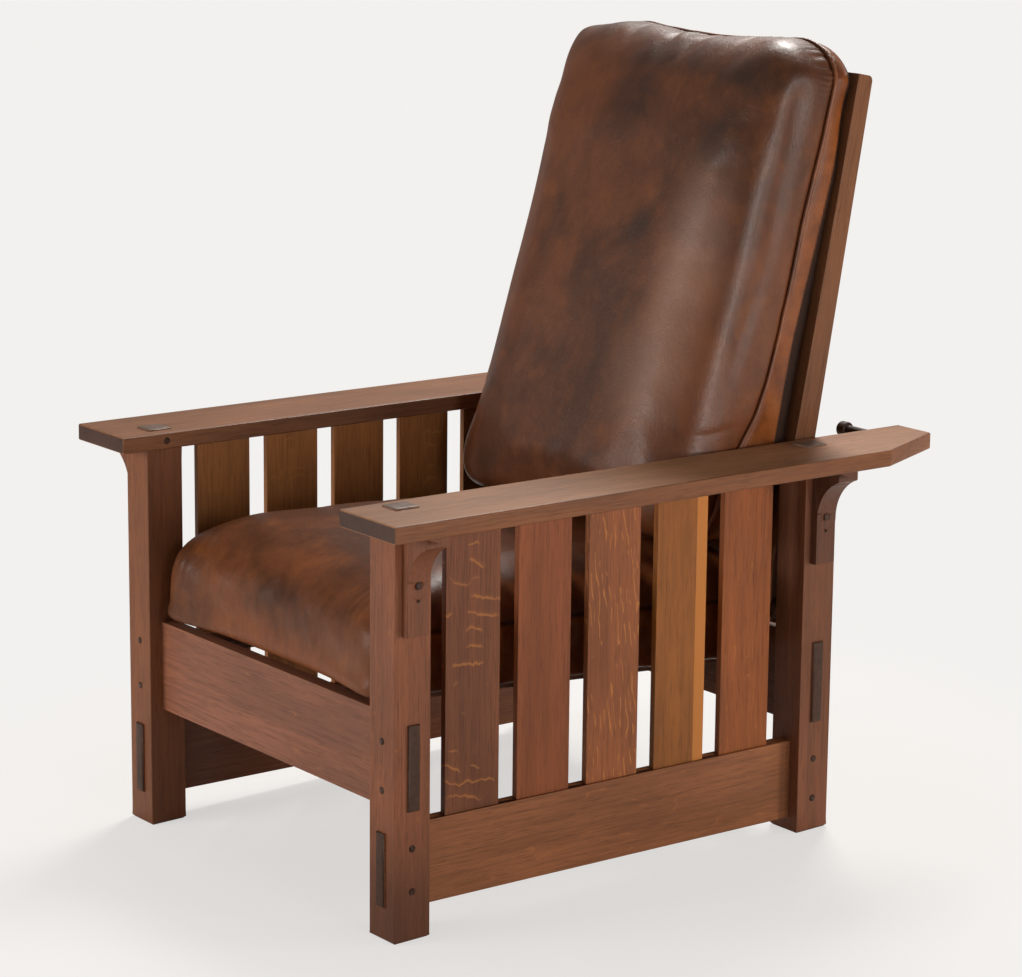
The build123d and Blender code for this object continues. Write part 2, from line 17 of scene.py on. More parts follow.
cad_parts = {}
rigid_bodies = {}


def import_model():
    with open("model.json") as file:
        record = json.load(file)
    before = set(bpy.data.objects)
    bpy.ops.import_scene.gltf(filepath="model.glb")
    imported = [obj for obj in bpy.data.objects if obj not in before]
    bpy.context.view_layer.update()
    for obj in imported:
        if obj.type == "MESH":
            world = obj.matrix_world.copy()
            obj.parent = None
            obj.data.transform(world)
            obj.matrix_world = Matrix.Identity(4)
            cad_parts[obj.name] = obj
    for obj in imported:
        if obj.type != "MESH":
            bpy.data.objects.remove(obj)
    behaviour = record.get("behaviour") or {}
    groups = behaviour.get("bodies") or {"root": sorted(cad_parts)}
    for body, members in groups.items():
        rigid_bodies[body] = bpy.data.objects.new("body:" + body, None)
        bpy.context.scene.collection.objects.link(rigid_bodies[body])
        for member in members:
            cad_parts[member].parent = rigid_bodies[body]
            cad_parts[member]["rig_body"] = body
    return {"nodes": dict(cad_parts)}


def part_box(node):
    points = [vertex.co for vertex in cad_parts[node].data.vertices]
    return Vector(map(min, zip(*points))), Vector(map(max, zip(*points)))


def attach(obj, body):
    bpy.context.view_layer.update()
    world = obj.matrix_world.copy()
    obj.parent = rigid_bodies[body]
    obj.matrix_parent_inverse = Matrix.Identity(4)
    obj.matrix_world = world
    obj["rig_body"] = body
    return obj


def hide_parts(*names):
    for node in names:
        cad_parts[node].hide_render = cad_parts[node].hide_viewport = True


for thing in list(bpy.data.objects):
    bpy.data.objects.remove(thing)
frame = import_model()
nodes = frame["nodes"]
body_of_node = {name: node["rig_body"] for name, node in nodes.items()}
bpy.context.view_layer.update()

# %% [markdown]
# ## The chair's own directions
#
# The rear legs are a little shorter than the front ones, so the whole frame leans back. The back leans
# further, and the seat deck falls to the rear. Each of these planes is kept here as a matrix, so that
# later cells can think in "along the grain" or "up the back" instead of in room directions.

# %% Planes that the pieces follow
CHAIR_LEAN = radians(1.65)
BACK_LEAN = radians(1.65 + 11.17)
DECK_FALL = radians(1.65 + 3.54)


def plane(origin, across, along):
    """Matrix of a plane: its x runs across, its y along, and its z is their cross product."""
    x, y = Vector(across), Vector(along)
    turn = Matrix((x, y, x.cross(y))).transposed().to_4x4()
    return Matrix.Translation(origin) @ turn


HINGE = Vector((0, 0.256355, 0.309736))
FRONT_FACE = -0.451857
BACK_UP = Vector((0, sin(BACK_LEAN), cos(BACK_LEAN)))
BACK_FORWARD = Vector((0, -cos(BACK_LEAN), sin(BACK_LEAN)))
SEAT_PLANE = plane((0, -0.42609, 0.30399), (1, 0, 0), (0, cos(DECK_FALL), -sin(DECK_FALL)))
BACK_PLANE = plane(HINGE + 0.0916 * BACK_UP + 0.021 * BACK_FORWARD, (1, 0, 0), BACK_UP)


def in_chair(p):
    """A room point as the chair's frame sees it: from the front posts' faces, and from their feet."""
    y = p.y - FRONT_FACE
    along = y * cos(CHAIR_LEAN) - p.z * sin(CHAIR_LEAN)
    up = y * sin(CHAIR_LEAN) + p.z * cos(CHAIR_LEAN)
    return Vector((p.x, along, up))


FRAME_DEPTH = 0.742
POST_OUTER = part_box("front_left_post")[1].x
ARM_TOP = 0.5685
print("back plane faces", BACK_PLANE.to_3x3().col[2], "frame depth", FRAME_DEPTH, "half width", POST_OUTER)

# %% [markdown]
# ## Camera
#
# The photograph was taken from the chair's front left with a long lens, a little above arm height.
# The numbers come from fitting one camera to the joints of the frame, so each corner of the model
# falls on the same corner of the picture.

# %% Camera
eye = bpy.data.cameras.new("studio_camera")
eye.lens = 118.598
eye.sensor_width = 36
eye.sensor_fit = "HORIZONTAL"
eye.clip_end = 60
camera = bpy.data.objects.new("studio_camera", eye)
camera.location = (3.6865, -2.74831, 1.57328)
camera.rotation_euler = Euler((radians(76.55151), radians(0.77477), radians(53.21886)), "XYZ")
bpy.context.scene.collection.objects.link(camera)
bpy.context.scene.camera = camera
bpy.context.scene.view_settings.view_transform = "Standard"
print("camera at", camera.location, "with a lens of", eye.lens, "mm")

# %% [markdown]
# ## A small language for shaders
#
# A shader is a sum worked out at each point of a surface. Written as nodes it soon sprawls, so one
# class wraps a socket and turns `a * 0.5 + b` into the Math nodes that do it. Colours and vectors
# have methods of their own, because a Math node would turn a colour grey.

# %% Sockets with arithmetic
class Wire:
    """One output of a node, with the sums that can be made from it."""

    def __init__(self, tree, socket):
        self.tree = tree
        self.socket = socket

    def node(self, kind, settings=None, inputs=None, output=0):
        """Adds a node of a kind: its settings first, and then the values or wires of its sockets."""
        made = self.tree.nodes.new(kind)
        for name, value in (settings or {}).items():
            setattr(made, name, value)
        for key, value in (inputs or {}).items():
            if isinstance(value, Wire):
                self.tree.links.new(value.socket, made.inputs[key])
            else:
                made.inputs[key].default_value = value
        return Wire(self.tree, made.outputs[output])

    def sum(self, operation, *values):
        return self.node("ShaderNodeMath", {"operation": operation}, dict(enumerate(values)))

    def vector(self, operation, *values, output=0):
        """A sum on all three coordinates, whose length comes out of output 1."""
        return self.node("ShaderNodeVectorMath", {"operation": operation}, dict(enumerate(values)), output)

    def axis(self, index):
        """One coordinate: 0 for x, 1 for y and 2 for z."""
        return self.node("ShaderNodeSeparateXYZ", None, {0: self}, index)

    def __add__(self, other):
        return self.sum("ADD", self, other)

    def __radd__(self, other):
        return self.sum("ADD", other, self)

    def __sub__(self, other):
        return self.sum("SUBTRACT", self, other)

    def __rsub__(self, other):
        return self.sum("SUBTRACT", other, self)

    def __mul__(self, other):
        return self.sum("MULTIPLY", self, other)

    def __rmul__(self, other):
        return self.sum("MULTIPLY", other, self)

    def __abs__(self):
        return self.sum("ABSOLUTE", self)

    def ramp(self, low, high, start=0.0, end=1.0):
        """Smooth step from start to end, while the value goes from low to high."""
        inputs = {"Value": self, "From Min": low, "From Max": high, "To Min": start, "To Max": end}
        return self.node("ShaderNodeMapRange", {"interpolation_type": "SMOOTHSTEP"}, inputs)

    def mix(self, first, second):
        """Colour between two colours, by this value."""
        return self.node("ShaderNodeMix", {"data_type": "RGBA"}, {0: self, 6: first, 7: second}, 2)

    def stretched(self, across, deep, along):
        """The coordinates, with each axis multiplied."""
        return self.vector("MULTIPLY", self, (across, deep, along))

    def noise(self, scale, detail=2.0, roughness=0.5, distortion=0.0):
        inputs = {"Vector": self, "Scale": scale, "Detail": detail,
                  "Roughness": roughness, "Distortion": distortion}
        return self.node("ShaderNodeTexNoise", None, inputs)


def colour(code, gain=1.0):
    """Linear colour of a hex code as it would be seen, with a gain."""
    parts = [int(code[i : i + 2], 16) / 255 for i in (0, 2, 4)]
    linear = [p / 12.92 if p <= 0.04045 else ((p + 0.055) / 1.055) ** 2.4 for p in parts]
    return (*[min(p * gain, 1.0) for p in linear], 1.0)


def new_material(name):
    """A material with its Principled shader, and a Wire of Object coordinates to start from."""
    material = bpy.data.materials.new(name)
    material.use_nodes = True
    tree = material.node_tree
    shader = tree.nodes["Principled BSDF"]
    place = Wire(tree, tree.nodes.new("ShaderNodeTexCoord").outputs["Object"])
    return material, shader, place


def connect(shader, name, wire):
    """Plugs a wire into a socket of the Principled shader."""
    wire.tree.links.new(wire.socket, shader.inputs[name])


# %% [markdown]
# ## Studio: floor, world and lamps
#
# The chair stands on a seamless pale sweep. The camera sees the world as a near-white backdrop, and
# the floor melts into it away from the chair, while the soft shadow under the legs stays. The main
# lamp hangs behind the chair, so the back throws its shadow over the near arm. Broad lamps fill the
# front and the near side, two of them without a highlight, and narrow ones draw the sheen on the
# leather.

# %% Backdrop that only the camera and shiny things see
BACKDROP = (0.895, 0.879, 0.859, 1.0)
ROOM = (1.0, 0.985, 0.965, 1.0)
ROOM_LIGHT = 0.12
MIRRORED_SHARE = 0.2


def shows_backdrop(tree):
    """1 for rays from the camera, straight or through glass, and a small share for mirrored ones."""
    rays = tree.nodes.new("ShaderNodeLightPath")
    seen = Wire(tree, rays.outputs["Is Camera Ray"])
    seen = seen.sum("MAXIMUM", seen, Wire(tree, rays.outputs["Is Transmission Ray"]))
    mirrored = Wire(tree, rays.outputs["Is Glossy Ray"])
    return seen.sum("MAXIMUM", seen, MIRRORED_SHARE * mirrored)


world = bpy.data.worlds.new("studio")
bpy.context.scene.world = world
world.use_nodes = True
tree = world.node_tree
tree.nodes.clear()
shows = shows_backdrop(tree)
backdrop = shows.node("ShaderNodeBackground", None, {"Color": BACKDROP, "Strength": 1.0})
room = shows.node("ShaderNodeBackground", None, {"Color": ROOM, "Strength": ROOM_LIGHT})
lit = shows.node("ShaderNodeMixShader", None, {0: shows, 1: room, 2: backdrop})
out = tree.nodes.new("ShaderNodeOutputWorld")
tree.links.new(lit.socket, out.inputs["Surface"])
print("the world has", len(tree.nodes), "nodes, and lights the room at", ROOM_LIGHT)

# %% Floor that fades into the backdrop
bpy.ops.object.select_all(action="DESELECT")
bpy.ops.mesh.primitive_circle_add(vertices=96, radius=14, fill_type="NGON", location=(0, 0, 0))
floor = bpy.context.object
floor.name = "floor"
material, shader, place = new_material("floor_paper")
shader.inputs["Base Color"].default_value = (0.86, 0.84, 0.825, 1.0)
shader.inputs["Roughness"].default_value = 0.9
shader.inputs["Specular IOR Level"].default_value = 0.1
tree = material.node_tree
paper = Wire(tree, shader.outputs[0])
away = place.vector("LENGTH", place, output=1).ramp(0.5, 1.12)
glow = place.node("ShaderNodeEmission", None, {"Color": BACKDROP, "Strength": 1.0})
fade = shows_backdrop(tree) * (0.68 + 0.32 * away)
whole = place.node("ShaderNodeMixShader", None, {0: fade, 1: paper, 2: glow})
tree.links.new(whole.socket, tree.nodes["Material Output"].inputs["Surface"])
floor.data.materials.append(material)
print("floor", floor.dimensions.x, "m wide, with", len(tree.nodes), "nodes in its paper")

# %% Lamps
def soft_box(name, place, target, width, height, power, mirrored=True, lighting=True):
    """A rectangular lamp at a place, turned to a target. One that isn't mirrored leaves no highlight,
    and one that isn't lighting leaves nothing but highlights."""
    lamp = bpy.data.lights.new(name, "AREA")
    lamp.shape = "RECTANGLE"
    lamp.size, lamp.size_y = width, height
    lamp.energy = power
    lamp.color = (1.0, 0.97, 0.93)
    box = bpy.data.objects.new(name, lamp)
    box.location = place
    box.rotation_euler = (Vector(target) - Vector(place)).to_track_quat("-Z", "Y").to_euler()
    bpy.context.scene.collection.objects.link(box)
    box.visible_glossy = mirrored
    box.visible_diffuse = lighting


soft_box("key_box", (-1.2, 1.7, 3.1), (0, 0, 0.5), 1.0, 1.0, 114)
soft_box("front_box", (-1.2, -3.5, 1.25), (0, 0, 0.6), 1.6, 1.0, 72)
soft_box("front_fill", (0.2, -4.0, 0.9), (0, 0, 0.5), 2.0, 1.6, 26, mirrored=False)
soft_box("near_fill", (2.5, 2.4, 0.6), (0.3, 0, 0.4), 0.6, 0.9, 54, mirrored=False)
soft_box("strip_box", (3.7, -0.5, 1.15), (0.25, 0.2, 0.85), 0.7, 1.1, 30)
soft_box("sheen_box", (3.6, -0.48, 1.14), (0.25, 0.2, 0.85), 0.2, 0.9, 34, lighting=False)
soft_box("edge_box", (3.5, 1.2, 0.85), (0.25, 0.2, 0.85), 0.6, 1.0, 20)
soft_box("rear_box", (-0.4, 4.0, 1.1), (0, 0, 0.6), 1.6, 1.4, 14)
print([(lamp.name, lamp.energy) for lamp in bpy.data.lights])

# %% [markdown]
# ## Quarter-sawn oak
#
# Fumed oak is a warm reddish brown. Sawn on the quarter, its surface shows two things: fine straight
# pores that run with the grain, and ray flecks, the wavy silvery-orange ribbons that this furniture is
# loved for. Pores are noise stretched twenty or thirty times along the grain. A fleck is a contour
# line of a slope that noise makes wander, as on a map, and a coarser noise keeps the lines only here
# and there. Boards that show side by side take an offset and a tone of their own, so that they don't
# look cut from the same plank.

# %% Oak material
FLECK_GAIN = 0.8


def rays_in(plank, across, along, wander, waves, cells, gate, thin=0.06, gain=1.0):
    """Ray flecks: contour lines of a wandering slope over the board, kept only in some cells."""
    waver = plank.stretched(*waves).noise(1.0, 2.0, 0.55)
    slope = (plank.axis(0) + plank.axis(1)) * across + plank.axis(2) * along + waver * wander
    phase = slope.sum("FRACT", slope)
    edge = abs(phase - 0.5)
    kept = plank.stretched(*cells).noise(1.0, 1.0, 0.5, 0.3).ramp(gate, gate + 0.07)
    line = edge.ramp(thin * 0.4, thin, 1.0, 0.0)
    haze = phase.ramp(0.5, 0.85, 1.0, 0.0) * phase.ramp(0.47, 0.5)
    return (line + 0.22 * haze) * kept * gain


def oak(name, grain, lean=CHAIR_LEAN, shift=0.0, tone="7a4c33", fleck=None, strip=None, foot=False):
    """Oak whose grain runs along the chair's x, y or z, turned back by the lean of its piece."""
    material, shader, place = new_material(name)
    turn = {"z": (lean, 0, 0), "y": (pi / 2 + lean, 0, 0), "x": (lean, -pi / 2, 0)}[grain]
    square = place.node("ShaderNodeMapping", {"vector_type": "POINT"}, {"Vector": place, "Rotation": turn})
    offset = (shift, shift * 1.7, shift * 2.3)
    plank = square.vector("ADD", square, offset)

    pores = plank.stretched(1, 1, 0.045).noise(620, 2.0, 0.6)
    hairs = plank.stretched(1, 1, 0.03).noise(240, 3.0, 0.6)
    streak = plank.stretched(1, 1, 0.06).noise(46, 3.0, 0.5)
    cloud = plank.stretched(1, 1, 0.35).noise(10, 3.0, 0.5)
    ground = cloud.ramp(0.3, 0.7).mix(colour(tone, 0.80), colour(tone, 1.14))
    ground = (streak.ramp(0.42, 0.7) * 0.35).mix(ground, colour(tone, 1.45))
    ground = (hairs.ramp(0.45, 0.68) * 0.42).mix(ground, colour(tone, 0.5))
    ground = (pores.ramp(0.5, 0.68) * 0.45).mix(ground, colour(tone, 0.36))
    if fleck:
        ground = (rays_in(plank, **fleck) * FLECK_GAIN).mix(ground, colour("b07035"))
    if foot:
        # The post grows darker towards its foot.
        blend_weight = place.axis(2).ramp(0.02, 0.22, 0.7, 0.0) * (0.5 + cloud)
        ground = blend_weight.mix(ground, colour(tone, 0.3))
    if strip:
        low, high = strip
        depth = square.axis(1)
        inside = depth.ramp(low, low + 0.0012) * depth.ramp(high - 0.0012, high, 1.0, 0.0)
        ground = (inside * (0.55 + 0.3 * hairs)).mix(ground, colour("b06e30"))
    connect(shader, "Base Color", ground)
    connect(shader, "Roughness", 0.38 + 0.1 * streak + 0.16 * pores)
    height = pores.ramp(0.45, 0.75, 1.0, 0.0) + 0.35 * hairs
    bump = plank.node("ShaderNodeBump", None, {"Strength": 0.2, "Distance": 0.0005, "Height": height})
    connect(shader, "Normal", bump)
    shader.inputs["Specular IOR Level"].default_value = 0.26
    return material


def end_grain(name, code="371f10"):
    """Dark end grain of pins, plugs, tenons and pegs: specks and soft patches instead of long pores."""
    material, shader, place = new_material(name)
    specks = place.noise(1500, 2.0, 0.6)
    patch = place.noise(120, 2.0, 0.5)
    ground = patch.ramp(0.3, 0.7).mix(colour(code, 0.8), colour(code, 1.35))
    ground = (specks.ramp(0.5, 0.7) * 0.5).mix(ground, colour("140b07"))
    connect(shader, "Base Color", ground)
    connect(shader, "Roughness", 0.4 + 0.2 * specks)
    bump = place.node("ShaderNodeBump", None, {"Strength": 0.2, "Distance": 0.0004, "Height": specks})
    connect(shader, "Normal", bump)
    shader.inputs["Specular IOR Level"].default_value = 0.3
    return material


# %% [markdown]
# ## Easing the edges of the oak
#
# A sanded board has no razor edges. Each long edge is rounded by about a millimetre, which is what
# draws the thin bright lines along the arms and posts. The CAD pieces are loose triangles, so each
# piece is first copied and its doubles merged. Then only the long outer edges are picked, by their
# length and the angle between their faces, and bevelled. Weighted normals keep the flat faces flat up
# to the rounded edge. The rims of mortises and pin holes are short, so they stay tight.

# %% Copying and easing a board
def copied(name, label):
    """A copy of a CAD node with a mesh of its own, its doubles merged."""
    bpy.ops.object.select_all(action="DESELECT")
    piece = nodes[name].copy()
    piece.data = nodes[name].data.copy()
    piece.animation_data_clear()
    for key in list(piece.keys()):
        del piece[key]
    piece.parent = None
    bpy.context.scene.collection.objects.link(piece)
    piece.select_set(True)
    bpy.context.view_layer.objects.active = piece
    piece.name = label
    piece.data.name = label
    piece.data.materials.clear()
    bpy.ops.object.mode_set(mode="EDIT")
    bpy.ops.mesh.select_all(action="SELECT")
    bpy.ops.mesh.remove_doubles(threshold=1e-6)
    bpy.ops.mesh.select_all(action="DESELECT")
    bpy.ops.object.mode_set(mode="OBJECT")
    return piece


def ease(piece, width, wanted):
    """Bevels the sharp outer edges that a test of (middle, length) picks, and shades the piece smooth."""
    mesh = piece.data
    sides = {}
    for face in mesh.polygons:
        for key in face.edge_keys:
            sides.setdefault(key, []).append((face.normal.copy(), face.center.copy()))
    picked = 0
    for edge in mesh.edges:
        a, b = (mesh.vertices[i].co for i in edge.vertices)
        around = sides.get(tuple(sorted(edge.vertices)), [])
        sharp = len(around) == 2 and around[0][0].angle(around[1][0], 0) > radians(25)
        sharp = sharp and around[0][0].dot(around[1][1] - around[0][1]) < 0
        edge.select = sharp and wanted((a + b) / 2, (a - b).length)
        picked += edge.select
    bpy.context.view_layer.objects.active = piece
    piece.select_set(True)
    if picked:
        bpy.ops.object.mode_set(mode="EDIT")
        bpy.ops.mesh.select_mode(type="EDGE")
        bpy.ops.mesh.bevel(offset=width, offset_type="OFFSET", segments=3, profile=0.5, clamp_overlap=True)
        bpy.ops.mesh.select_all(action="DESELECT")
        bpy.ops.object.mode_set(mode="OBJECT")
    bpy.ops.object.shade_smooth_by_angle(angle=radians(35))
    flat = piece.modifiers.new("flat faces", "WEIGHTED_NORMAL")
    flat.keep_sharp = True
    flat.weight = 100
    bpy.ops.object.modifier_apply(modifier="flat faces")
    piece.select_set(False)
    return picked


def dress(piece, name, finish):
    """Gives a finished piece its material and its body, and hides the node that it stands for."""
    piece.data.materials.clear()
    piece.data.materials.append(finish)
    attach(piece, body_of_node[name])
    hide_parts(name)


def long_edges(at_least):
    """A test that picks edges by their length alone."""
    return lambda middle, length: length >= at_least


def no_edges(middle, length):
    """A test for pieces whose edges stay crisp."""
    return False


# %% [markdown]
# ## Boards, one by one
#
# Here every oak piece gets its own board: which way its grain runs, how dark it is, and how strongly
# it shows its rays. The five near slats are the chair's face, so they are painted singly: the first
# and third are full of flecks, and the fourth is a golden board with a strip of sapwood.

# %% Posts and rails
boards = []
dark = end_grain("dark_end_grain")
tenon_top = end_grain("arm_tenon_end_grain", "6a5345")
PROUD = 1e-4
FAINT = dict(across=60, along=4, wander=5, waves=(30, 30, 9), cells=(60, 60, 25),
             gate=0.54, thin=0.05, gain=0.22)


def through_post(p, normal):
    """1 on a tenon that stands proud of the posts' faces, 2 on one proud of the arms, and 0 elsewhere."""
    if p.z > ARM_TOP + PROUD:
        return 2
    return abs(p.x) > POST_OUTER + PROUD or p.y < -PROUD or p.y > FRAME_DEPTH + PROUD


def board(names, finish, width=0.0013, wanted=long_edges(0.118), ends=None, end_finishes=(dark, tenon_top)):
    """Copies, eases and dresses the named nodes one by one. Their ends can have finishes of their own."""
    for name in names:
        piece = copied(name, name + "_oak")
        picked = ease(piece, width, wanted)
        dress(piece, name, finish)
        if ends:
            for end_finish in end_finishes:
                piece.data.materials.append(end_finish)
            for face in piece.data.polygons:
                face.material_index = int(ends(in_chair(face.center), face.normal))
        boards.append((name, picked))


POSTS_AND_RAILS = {
    "front_left_post": dict(grain="z", shift=0.31, tone="78462c", fleck=FAINT, foot=True),
    "rear_left_post": dict(grain="z", shift=1.87, tone="683d26"),
    "front_right_post": dict(grain="z", shift=4.11, tone="704125"),
    "rear_right_post": dict(grain="z", shift=5.73, tone="683d26"),
    "front_rail": dict(grain="x", shift=2.41, tone="7c4d38", fleck=FAINT),
    "rear_rail": dict(grain="x", shift=3.3, tone="683d26"),
    "left_side_rail": dict(grain="y", shift=6.2, tone="7a4a2c", fleck=FAINT),
    "right_side_rail": dict(grain="y", shift=7.9, tone="683d26"),
}
for name, looks in POSTS_AND_RAILS.items():
    board([name], oak("oak_" + name, **looks), ends=through_post)
print("posts and rails, each with its eased edges:", boards)

# %% [markdown]
# ## Slats, arms and the back
#
# The fourth near slat has its strip along its rear edge, so the edge is first measured on the CAD
# node. The far slats show only their inner faces in the picture, where a lighter golden tone paints
# light onto the shaded faces. The arms have faces of three tones: pale tops that paint the light from
# above, darker edges and dark brown ends.

# %% Slats
fourth = [in_chair(v.co).y for v in nodes["left_slat_4"].data.vertices]
strip_edge = max(fourth) + FRONT_FACE * cos(CHAIR_LEAN)
NEAR_SLATS = {
    1: dict(shift=1.713, tone="673a22", fleck=dict(
        across=6, along=44, wander=1.5, waves=(36, 36, 22),
        cells=(22, 22, 15), gate=0.54, thin=0.1, gain=0.45)),
    2: dict(shift=2.177, tone="773f20"),
    3: dict(shift=3.691, tone="7c4626", fleck=dict(
        across=110, along=14, wander=2.2, waves=(50, 50, 20),
        cells=(90, 90, 30), gate=0.5, thin=0.12, gain=0.62)),
    4: dict(shift=5.059, tone="794618", strip=(strip_edge - 0.019, strip_edge + 0.01)),
    5: dict(shift=6.823, tone="773f1a", fleck=FAINT),
}
for number, looks in NEAR_SLATS.items():
    board([f"left_slat_{number}"], oak(f"oak_near_slat_{number}", "z", **looks), 0.0009)
# The far slats take a lighter golden tone, which paints light onto their shaded inner faces.
far_slat_oak_painted_light = [oak(f"oak_far_slats_painted_light_{n}", "z", shift=8.3 + n, tone="9c6230", fleck=None if n else dict(
    across=-16, along=46, wander=2.6, waves=(30, 30, 22), cells=(14, 14, 16), gate=0.5)) for n in (0, 1)]
for number in range(1, 6):
    board([f"right_slat_{number}"], far_slat_oak_painted_light[number % 2], 0.0009)
print("near slats in tones", [looks["tone"] for looks in NEAR_SLATS.values()])

# %% Arms and corbels
arm_end_oak = oak("oak_arm_ends", "y", shift=0.2, tone="3e251a")
for side, shift, tone in (("left", 0.55, "9a6b4a"), ("right", 4.9, "86593c")):
    # The pale top tone paints the light from above onto the arms' tops.
    arm_top_oak_painted_light = oak(f"oak_{side}_arm", "y", shift=shift, tone=tone)
    edge_oak = oak(f"oak_{side}_arm_edge", "y", shift=shift + 1, tone="704428")
    board([f"{side}_arm"], arm_top_oak_painted_light, 0.0006, no_edges,
          ends=lambda p, normal: 1 if abs(normal.y) > 0.8 else 2 * (abs(normal.x) > 0.5),
          end_finishes=(arm_end_oak, edge_oak))
# The rear corbels take a darker tone, which paints shade onto them.
for end, tone in (("front", "6e4029"), ("rear", "513020")):
    corbel_oak = oak(f"oak_{end}_corbels", "z", shift=3.05, tone=tone)
    for side in ("left", "right"):
        board([f"{end}_{side}_corbel"], corbel_oak, 0.0012, long_edges(0.02))
print("corbels with eased edges:", boards[-4:])

# %% Back frame
stile_oak = oak("oak_stiles", "z", BACK_LEAN, shift=1.21, tone="694127")
back_oak = oak("oak_back_slats", "x", BACK_LEAN, shift=2.9, tone="683d26")
stile_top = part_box("left_stile")[1].z - 0.06
board(["left_stile", "right_stile"], stile_oak, 0.0012,
      lambda middle, length: length >= 0.2 or (middle.z > stile_top and length > 0.004))
board(["back_bottom_rail"] + [f"back_slat_{n}" for n in range(1, 5)] + ["back_top_rail"], back_oak)
print("the back leans by", round(degrees(BACK_LEAN), 2), "degrees")

# %% Deck, bearers and cleats
deck_oak = oak("oak_deck", "x", DECK_FALL, shift=4.4, tone="5c3722")
frame_oak = oak("oak_bearers", "y", shift=1.4, tone="5c3722")
board([f"deck_slat_{n}" for n in range(1, 8)] + ["front_cleat", "rear_cleat"], deck_oak, 0.0008)
board(["left_bearer", "right_bearer"], frame_oak, 0.0008)
print(len(boards), "boards eased, with", sum(n for _, n in boards), "edges")

# %% [markdown]
# ## Pins, plugs and pegs
#
# The joints are locked with round pins, and the heads of the pins, the plugs in the corbels and the two
# adjusting pegs all show dark end grain.

# %% Pins, plugs, spacers and pegs
DARK_PIECES = ("arm_pins", "cross_rail_pins", "side_rail_pins", "corbel_plugs",
               "hinge_spacers", "left_peg", "right_peg")
for name in DARK_PIECES:
    piece = copied(name, name + "_dark")
    ease(piece, 0, no_edges)
    dress(piece, name, dark)
print(len(DARK_PIECES), "groups of pins, plugs, spacers and pegs")

# %% Hinge pins
material, shader, place = new_material("dull_steel")
blend_weight = place.noise(220, 3.0, 0.6)
connect(shader, "Base Color", blend_weight.ramp(0.3, 0.7).mix((0.10, 0.095, 0.09, 1.0), (0.2, 0.19, 0.18, 1.0)))
connect(shader, "Roughness", 0.35 + 0.3 * blend_weight)
shader.inputs["Metallic"].default_value = 1.0
piece = copied("hinge_pins", "hinge_pins_steel")
ease(piece, 0, no_edges)
dress(piece, "hinge_pins", material)

# %% [markdown]
# ## Leather cushions
#
# Each cushion is a leather cover over a soft filling. It starts from a copy of its CAD solid, remeshed to
# an even skin, shaped a little, and blown up as cloth with air pressure, which rounds the crown
# as stuffing does. The corners are held, because a sewn corner stays where its seams meet. How far a
# point may move is capped, so the cushion keeps to the room between the arms.

# %% Weights that say where a move acts
def step(value, low, high):
    """Smooth step from 0 to 1, while the value goes from low to high."""
    share = min(max((value - low) / (high - low), 0.0), 1.0)
    return share * share * (3 - 2 * share)


def lump(p, middle, spread):
    """Bell-shaped weight of a place, 1 at its middle."""
    return exp(-sum(((a - m) / s) ** 2 for a, m, s in zip(p, middle, spread)))


def along_table(value, table):
    """Straight-line reading of a table of (place, number) pairs."""
    for (a, first), (b, second) in zip(table, table[1:]):
        if value <= b:
            return first + (second - first) * max(value - a, 0) / (b - a)
    return table[-1][1]


print("a step half-way up gives", step(0.5, 0, 1))
print("a lump gives", round(lump((1,), (0,), (1,)), 3), "at the edge of its spread")

# %% Skin of a cushion, and moves of its points
VOXEL = 0.006


def cushion_skin(name, label):
    """Even skin of a CAD cushion."""
    piece = copied(name, label)
    skin = piece.modifiers.new("skin", "REMESH")
    skin.mode = "VOXEL"
    skin.voxel_size = VOXEL
    bpy.ops.object.select_all(action="DESELECT")
    piece.select_set(True)
    bpy.context.view_layer.objects.active = piece
    bpy.ops.object.modifier_apply(modifier="skin")
    return piece


def reshape(piece, frame_plane, move):
    """Moves each point by a function of its place and normal, both in the cushion's own plane."""
    inverse = frame_plane.inverted()
    turn = inverse.to_3x3()
    moved = []
    for vertex in piece.data.vertices:
        p = inverse @ vertex.co
        moved.append(frame_plane @ (p + move(p, turn @ vertex.normal)))
    for vertex, co in zip(piece.data.vertices, moved):
        vertex.co = co


def smooth(piece, times, weight=None):
    """Relaxes the skin, all over or as much as a weight of its points says."""
    relax = piece.modifiers.new("relax", "SMOOTH")
    relax.factor = 0.5
    relax.iterations = times
    if weight:
        group = piece.vertex_groups.new(name="relaxed")
        for vertex in piece.data.vertices:
            group.add([vertex.index], weight(vertex.co), "REPLACE")
        relax.vertex_group = "relaxed"
    bpy.context.view_layer.objects.active = piece
    bpy.ops.object.modifier_apply(modifier="relax")
    if weight:
        piece.vertex_groups.remove(piece.vertex_groups["relaxed"])


# %% [markdown]
# ## Air in the cushions
#
# The Cloth modifier has a pressure setting that pushes a closed skin outwards, as air does. A stiff
# cloth under a little pressure rounds out like leather over stuffing. Gravity is off, because the
# stuffing already carries the cover, and twenty frames are enough to reach the shape.

# %% Blowing a skin up
PRESSURE = 4.0
FRAMES = 20


